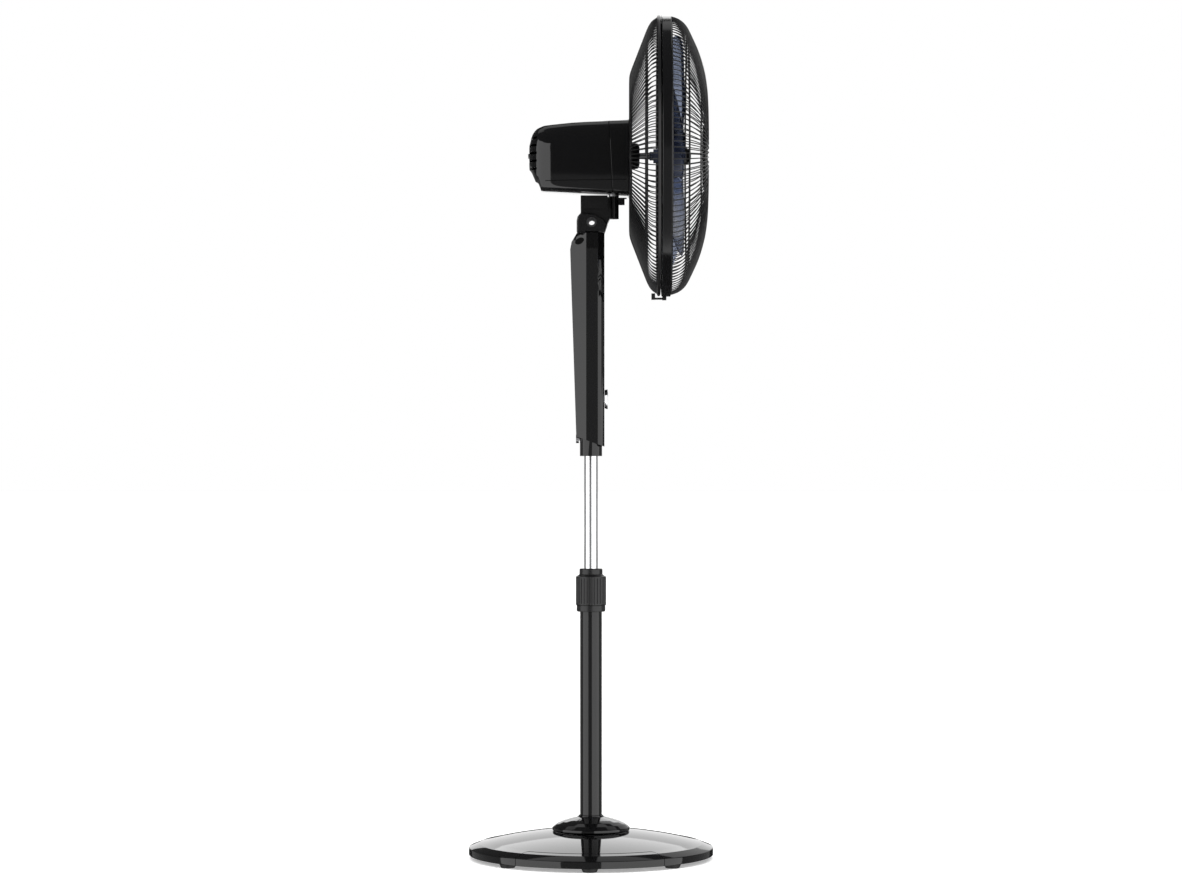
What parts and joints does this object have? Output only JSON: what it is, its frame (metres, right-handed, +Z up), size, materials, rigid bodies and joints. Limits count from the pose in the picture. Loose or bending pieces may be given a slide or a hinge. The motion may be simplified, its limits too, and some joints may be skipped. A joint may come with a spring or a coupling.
{
  "type": "pedestal fan",
  "caption": "Pedestal fan with a round weighted base, a telescopic column, a control neck and a tilting, swinging head with blades inside a wire guard.",
  "frame": {"origin": "on the floor under the feet, on the column's axis", "axes": "+X the way the fan blows, +Z up the column, +Y to the fan's left"},
  "size_m": [0.392, 0.451, 1.352],
  "materials": {
    "base_gloss": "glossy",
    "black_plate": "satin",
    "ballast": "rough",
    "feet": "matt",
    "fasteners": "plain",
    "column_black": "glossy",
    "column_chrome": "polished",
    "knob_black": "satin",
    "inner_black": "matt",
    "nylon": "matt",
    "neck_black": "glossy",
    "board": "satin",
    "window": "glossy",
    "button": "satin",
    "dial_chrome": "polished",
    "joint_black": "satin",
    "shaft_steel": "ground",
    "bell_alloy": "cast",
    "lamination": "plain",
    "windings": "lacquered wire",
    "bearing_bronze": "sintered",
    "housing_black": "glossy",
    "guard_wire": "glossy",
    "guard_black": "satin",
    "badge_black": "glossy",
    "blade_smoke": "glossy, slightly translucent"
  },
  "bodies": {
    "base": {"base_cover": "base_gloss", "base_plate": "black_plate", "base_weight": "ballast", "base_feet": "feet", "base_screws": "fasteners", "column_socket": "black_plate", "column_socket_screws": "fasteners", "base_cap": "base_gloss", "outer_tube": "column_black", "height_collar": "knob_black", "clamp_collet": "inner_black"},
    "knob": {"height_knob": "knob_black"},
    "mast": {"inner_tube": "column_chrome", "tube_glide": "inner_black", "neck_sleeve": "neck_black", "lock_screw": "fasteners", "neck_front_shell": "neck_black", "neck_rear_shell": "neck_black", "neck_screws": "fasteners", "circuit_board": "board", "display_window": "window", "tilt_yoke": "joint_black", "tilt_pivot": "shaft_steel", "friction_washers": "nylon"},
    "power_key": {"power_button": "button"},
    "speed_key": {"speed_button": "button"},
    "swing_key": {"swing_button": "button"},
    "timer_key": {"timer_button": "button"},
    "dial": {"dial_ring": "dial_chrome", "dial_knob": "knob_black"},
    "tilt": {"tilt_bracket": "joint_black", "swing_shaft": "shaft_steel", "swing_gear": "nylon", "swing_shaft_washers": "fasteners"},
    "head": {"motor_front_bell": "bell_alloy", "motor_rear_bell": "bell_alloy", "stator_core": "lamination", "stator_windings": "windings", "motor_bearings": "bearing_bronze", "motor_bolts": "fasteners", "motor_capacitor": "inner_black", "swing_motor": "fasteners", "motor_front_cover": "housing_black", "motor_rear_cover": "housing_black", "rear_cover_screw": "fasteners", "rear_guard_wires": "guard_wire", "rear_guard_rings": "guard_wire", "rear_guard_plate": "guard_wire", "guard_nut": "guard_black", "front_guard_wires": "guard_wire", "front_guard_rings": "guard_wire", "front_badge": "badge_black", "guard_hoop": "guard_black"},
    "pinion": {"swing_pinion": "nylon"},
    "spin": {"motor_shaft": "shaft_steel", "rotor": "lamination", "drive_pin": "fasteners", "fan_blade": "blade_smoke", "blade_nut": "guard_black"},
    "latch": {"guard_latch": "guard_black"}
  },
  "joints": [
    {"name": "knob_turn", "type": "hinge", "parent": "base", "child": "knob", "pos_m": [0, 0, 0.43], "axis": [0, 0, 1], "range_deg": [0, 180]},
    {"name": "height_slide", "type": "slide", "parent": "base", "child": "mast", "axis": [0, 0, 1], "range_m": [-0.165, 0]},
    {"name": "tilt_turn", "type": "hinge", "parent": "mast", "child": "tilt", "pos_m": [0.0013, 0, 1.0193], "axis": [0, 1, 0], "range_deg": [-20, 15]},
    {"name": "swing_turn", "type": "hinge", "parent": "tilt", "child": "head", "pos_m": [0.0366, 0, 1.06], "axis": [0, 0, 1], "range_deg": [-40, 40]},
    {"name": "pinion_turn", "type": "hinge", "parent": "head", "child": "pinion", "pos_m": [0.01245, 0, 1.0708], "axis": [0, 0, 1], "range_deg": [-120, 120]},
    {"name": "fan_spin", "type": "hinge", "parent": "head", "child": "spin", "pos_m": [0.1, 0, 1.1265], "axis": [1, 0, 0], "continuous": true},
    {"name": "latch_open", "type": "hinge", "parent": "head", "child": "latch", "pos_m": [0.117, 0, 0.8977], "axis": [0, -1, 0], "range_deg": [0, 75]},
    {"name": "dial_turn", "type": "hinge", "parent": "mast", "child": "dial", "pos_m": [0.022, 0, 0.7365], "axis": [1, 0, 0], "range_deg": [0, 270]},
    {"name": "power_press", "type": "slide", "parent": "mast", "child": "power_key", "axis": [-1, 0, 0], "range_m": [0, 0.001], "stiffness_N_per_m": 500, "springref_m": -0.001},
    {"name": "speed_press", "type": "slide", "parent": "mast", "child": "speed_key", "axis": [-1, 0, 0], "range_m": [0, 0.001], "stiffness_N_per_m": 500, "springref_m": -0.001},
    {"name": "swing_press", "type": "slide", "parent": "mast", "child": "swing_key", "axis": [-1, 0, 0], "range_m": [0, 0.001], "stiffness_N_per_m": 500, "springref_m": -0.001},
    {"name": "timer_press", "type": "slide", "parent": "mast", "child": "timer_key", "axis": [-1, 0, 0], "range_m": [0, 0.001], "stiffness_N_per_m": 500, "springref_m": -0.001}
  ],
  "couplings": [
    {"joint": "pinion_turn", "follows": "swing_turn", "ratio": 3}
  ]
}
